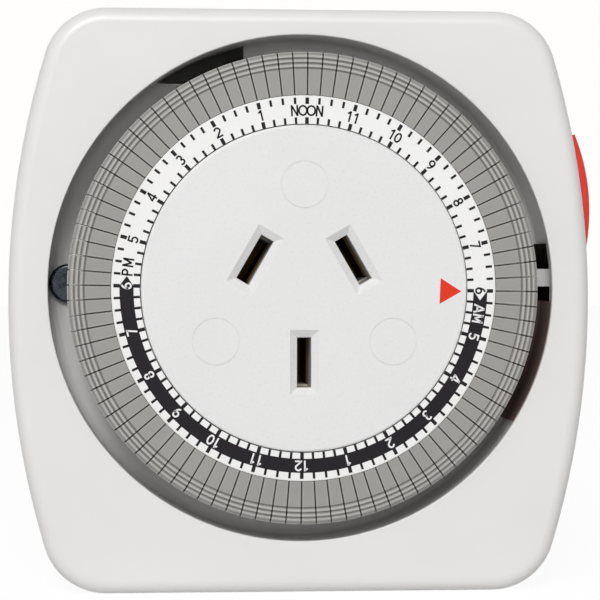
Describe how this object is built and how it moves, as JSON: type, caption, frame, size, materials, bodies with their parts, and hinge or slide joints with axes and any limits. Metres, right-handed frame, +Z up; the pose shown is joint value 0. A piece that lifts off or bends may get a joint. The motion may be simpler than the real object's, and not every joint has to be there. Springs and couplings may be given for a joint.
{
  "type": "plug-in timer switch",
  "caption": "White plug-in 24 hour timer switch with a turning segment dial round a flat three-pin socket, a red side override rocker, and gears, motor and contacts inside.",
  "frame": {"origin": "on the dial's axis, in the plane of the rear face that rests on the wall plate", "axes": "+X to the right seen from the front, +Z up, the socket and dial look along -Y and the plug pins point along +Y"},
  "size_m": [0.0833, 0.0619, 0.082],
  "materials": {
    "housing_white": "fine satin moulded ABS, white",
    "disc_white": "satin moulded white",
    "dial_white": "satin white, printed scale",
    "segment_grey": "satin light grey acetal",
    "rocker_red": "satin red",
    "follower_white": "satin white acetal",
    "carrier_nylon": "black flame-retardant nylon",
    "gear_nylon": "natural acetal",
    "bobbin_nylon": "natural nylon",
    "washer_nylon": "natural nylon",
    "sleeve_black": "moulded black insulation",
    "lead_red": "PVC insulation",
    "lead_black": "PVC insulation",
    "brass": "stamped",
    "pin_brass": "bright rolled",
    "spring_bronze": "stamped phosphor bronze",
    "guard_fibre": "dark vulcanised fibre sheet",
    "contact_silver": "silver alloy",
    "coil_copper": "enamelled copper winding",
    "zinc_steel": "zinc plated",
    "dark_screw": "black oxide",
    "chassis_steel": "stamped zinc plated",
    "motor_tin": "drawn, nickel plated",
    "ferrite": "sintered ferrite"
  },
  "bodies": {
    "housing": {"front_housing": "housing_white", "rear_housing": "housing_white", "socket_face": "disc_white", "contact_carrier": "carrier_nylon", "housing_screws": "zinc_steel", "chassis_screws": "dark_screw", "contact_live": "brass", "contact_neutral": "brass", "contact_earth": "brass", "plug_pin_live": "pin_brass", "plug_pin_neutral": "pin_brass", "plug_pin_earth": "pin_brass", "pin_sleeves": "sleeve_black", "slip_washer": "washer_nylon", "chassis_plate": "chassis_steel", "motor_case": "motor_tin", "motor_cover": "motor_tin", "motor_bobbin": "bobbin_nylon", "motor_coil": "coil_copper", "motor_screws": "zinc_steel", "motor_lead_live": "lead_red", "motor_lead_neutral": "lead_black", "gear_axles": "zinc_steel", "follower_pin": "zinc_steel", "fixed_strip": "brass", "fixed_rivet": "contact_silver", "supply_strip": "brass", "override_pin": "zinc_steel", "switch_guard": "guard_fibre"},
    "dial": {"dial_ring": "dial_white", "dial_gear": "gear_nylon", "segment_set": "segment_grey"},
    "motor_rotor": {"rotor_magnet": "ferrite", "motor_shaft": "zinc_steel", "motor_pinion": "brass"},
    "first_gear": {"gear_1": "gear_nylon"},
    "second_gear": {"gear_2": "gear_nylon", "clutch_sleeve": "gear_nylon", "clutch_ring": "zinc_steel", "clutch_washer": "zinc_steel", "dial_pinion": "gear_nylon"},
    "follower": {"switch_follower": "follower_white"},
    "blade": {"moving_blade": "spring_bronze", "moving_rivet": "contact_silver"},
    "rocker": {"override_rocker": "rocker_red"},
    "override_leaf": {"override_blade": "spring_bronze"},
    "segment_1800": {"segment_1800": "segment_grey"},
    "segment_1815": {"segment_1815": "segment_grey"},
    "segment_1830": {"segment_1830": "segment_grey"},
    "segment_1845": {"segment_1845": "segment_grey"},
    "segment_1900": {"segment_1900": "segment_grey"},
    "segment_1915": {"segment_1915": "segment_grey"},
    "segment_1930": {"segment_1930": "segment_grey"},
    "segment_1945": {"segment_1945": "segment_grey"},
    "segment_2000": {"segment_2000": "segment_grey"},
    "segment_2015": {"segment_2015": "segment_grey"},
    "segment_2030": {"segment_2030": "segment_grey"},
    "segment_2045": {"segment_2045": "segment_grey"}
  },
  "joints": [
    {"name": "dial_turn", "type": "hinge", "parent": "housing", "child": "dial", "pos_m": [0, 0, 0], "axis": [0, -1, 0], "continuous": true},
    {"name": "second_gear_turn", "type": "hinge", "parent": "housing", "child": "second_gear", "pos_m": [-0.00958, 0, -0.02631], "axis": [0, -1, 0], "continuous": true},
    {"name": "first_gear_turn", "type": "hinge", "parent": "housing", "child": "first_gear", "pos_m": [-0.01316, 0, -0.01486], "axis": [0, -1, 0], "continuous": true},
    {"name": "motor_turn", "type": "hinge", "parent": "housing", "child": "motor_rotor", "pos_m": [-0.024, 0, -0.02], "axis": [0, -1, 0], "continuous": true},
    {"name": "follower_press", "type": "hinge", "parent": "housing", "child": "follower", "pos_m": [0.0323, -0.0235, -0.016], "axis": [-1, 0, 0], "range_deg": [0, 5.9], "stiffness_Nm_per_rad": 0.02, "springref_deg": -17.19},
    {"name": "blade_bend", "type": "hinge", "parent": "housing", "child": "blade", "pos_m": [0.0323, -0.0192, -0.024], "axis": [-1, 0, 0], "range_deg": [0, 5]},
    {"name": "override_press", "type": "hinge", "parent": "housing", "child": "rocker", "pos_m": [0.0363, -0.026, 0.0135], "axis": [0, 1, 0], "range_deg": [0, 12]},
    {"name": "override_bend", "type": "hinge", "parent": "housing", "child": "override_leaf", "pos_m": [0.018, -0.023, 0.01485], "axis": [0, -1, 0], "range_deg": [0, 8.5]},
    {"name": "segment_1800_push", "type": "slide", "parent": "dial", "child": "segment_1800", "axis": [0, 1, 0], "range_m": [0, 0.0022]},
    {"name": "segment_1815_push", "type": "slide", "parent": "dial", "child": "segment_1815", "axis": [0, 1, 0], "range_m": [0, 0.0022]},
    {"name": "segment_1830_push", "type": "slide", "parent": "dial", "child": "segment_1830", "axis": [0, 1, 0], "range_m": [0, 0.0022]},
    {"name": "segment_1845_push", "type": "slide", "parent": "dial", "child": "segment_1845", "axis": [0, 1, 0], "range_m": [0, 0.0022]},
    {"name": "segment_1900_push", "type": "slide", "parent": "dial", "child": "segment_1900", "axis": [0, 1, 0], "range_m": [0, 0.0022]},
    {"name": "segment_1915_push", "type": "slide", "parent": "dial", "child": "segment_1915", "axis": [0, 1, 0], "range_m": [0, 0.0022]},
    {"name": "segment_1930_push", "type": "slide", "parent": "dial", "child": "segment_1930", "axis": [0, 1, 0], "range_m": [0, 0.0022]},
    {"name": "segment_1945_push", "type": "slide", "parent": "dial", "child": "segment_1945", "axis": [0, 1, 0], "range_m": [0, 0.0022]},
    {"name": "segment_2000_push", "type": "slide", "parent": "dial", "child": "segment_2000", "axis": [0, 1, 0], "range_m": [0, 0.0022]},
    {"name": "segment_2015_push", "type": "slide", "parent": "dial", "child": "segment_2015", "axis": [0, 1, 0], "range_m": [0, 0.0022]},
    {"name": "segment_2030_push", "type": "slide", "parent": "dial", "child": "segment_2030", "axis": [0, 1, 0], "range_m": [0, 0.0022]},
    {"name": "segment_2045_push", "type": "slide", "parent": "dial", "child": "segment_2045", "axis": [0, 1, 0], "range_m": [0, 0.0022]}
  ],
  "couplings": [
    {"joint": "second_gear_turn", "follows": "dial_turn", "ratio": -6},
    {"joint": "first_gear_turn", "follows": "dial_turn", "ratio": 24},
    {"joint": "motor_turn", "follows": "dial_turn", "ratio": -96},
    {"joint": "blade_bend", "follows": "follower_press", "ratio": 0.6364},
    {"joint": "override_bend", "follows": "override_press", "ratio": 0.4878}
  ]
}
